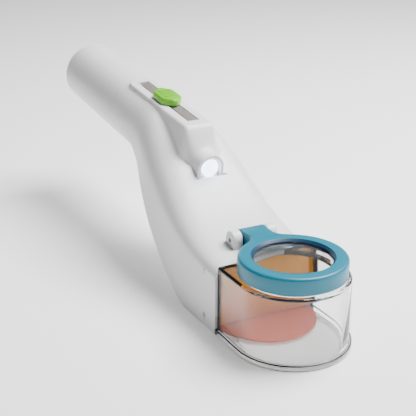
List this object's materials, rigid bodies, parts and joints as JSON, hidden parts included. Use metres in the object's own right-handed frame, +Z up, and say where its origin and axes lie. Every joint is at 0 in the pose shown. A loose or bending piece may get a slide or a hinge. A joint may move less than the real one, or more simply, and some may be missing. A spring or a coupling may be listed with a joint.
{
  "type": "bug catcher",
  "caption": "Hand-held bug catcher with a clear chamber, hinged magnifying lid, sliding trapdoor worked by a thumb slide, and a torch in its round grip.",
  "frame": {"origin": "middle of the footprint, on the surface that the chamber stands on", "axes": "+X from the grip to the chamber, +Y to the left, +Z up"},
  "size_m": [0.2988, 0.0628, 0.1039],
  "materials": {
    "white_shell": "smooth white moulded plastic",
    "clear_chamber": "clear polished plastic",
    "screw_steel": "plain steel",
    "peach_panel": "tinted translucent plastic",
    "blue_lid": "glossy blue moulded plastic",
    "pin_steel": "drawn steel",
    "clear_lens": "clear polished plastic lens",
    "navy_retainer": "dark blue moulded plastic",
    "orange_door": "translucent orange plastic",
    "grey_strip": "fine ribbed grey plastic",
    "green_button": "soft green moulded plastic",
    "pale_acetal": "natural acetal",
    "torch_clear": "clear moulded plastic",
    "bright_reflector": "vacuum metallised",
    "lamp_clear": "clear epoxy with steel leads",
    "board_green": "green board",
    "seal_rubber": "soft black rubber",
    "black_holder": "black moulded plastic",
    "cell_jacket": "plain dark jacket",
    "contact_metal": "nickel plated spring steel",
    "wire_jacket": "soft wire insulation"
  },
  "bodies": {
    "housing": {"main_housing": "white_shell", "bottom_cover": "white_shell", "chamber": "clear_chamber", "side_screws": "screw_steel", "cover_screws": "screw_steel", "front_panel": "peach_panel", "hinge_pin": "pin_steel", "slot_strip": "grey_strip", "torch_lens": "torch_clear", "torch_reflector": "bright_reflector", "torch_bulb": "lamp_clear", "torch_board": "board_green", "battery_holder": "black_holder", "battery_cells": "cell_jacket", "contact_plates": "contact_metal", "contact_springs": "contact_metal", "battery_leads": "wire_jacket"},
    "lid": {"lid_ring": "blue_lid", "magnifier_lens": "clear_lens", "lens_retainer": "navy_retainer"},
    "slider": {"slider_button": "green_button", "slider_carriage": "pale_acetal", "upper_link_pin": "pin_steel"},
    "link": {"drive_link": "pale_acetal"},
    "door": {"trapdoor": "orange_door", "lower_link_pin": "pin_steel"},
    "cap": {"battery_cap": "white_shell", "cap_seal": "seal_rubber", "cord_eye_bar": "white_shell"}
  },
  "joints": [
    {"name": "lid_hinge", "type": "hinge", "parent": "housing", "child": "lid", "pos_m": [0.0772, 0, 0.0436], "axis": [0, -1, 0], "range_deg": [0, 105]},
    {"name": "slider_slide", "type": "slide", "parent": "housing", "child": "slider", "axis": [0.9954, 0, -0.0958], "range_m": [-0.02313, 0.02313]},
    {"name": "link_swing", "type": "hinge", "parent": "slider", "child": "link", "pos_m": [-0.02352, 0, 0.07323], "axis": [0, 1, 0], "range_deg": [-1.36, 1.36]},
    {"name": "door_slide", "type": "slide", "parent": "housing", "child": "door", "axis": [0.9998, 0, -0.0209], "range_m": [-0.0245, 0.0245]},
    {"name": "cap_twist", "type": "hinge", "parent": "housing", "child": "cap", "pos_m": [-0.14772, 0, 0.08419], "axis": [-0.9954, 0, 0.0958], "range_deg": [0, 40]}
  ],
  "couplings": [
    {"joint": "door_slide", "follows": "slider_slide", "ratio": 1.0507},
    {"joint": "link_swing", "follows": "slider_slide", "rad_per_m": -0.87511}
  ]
}
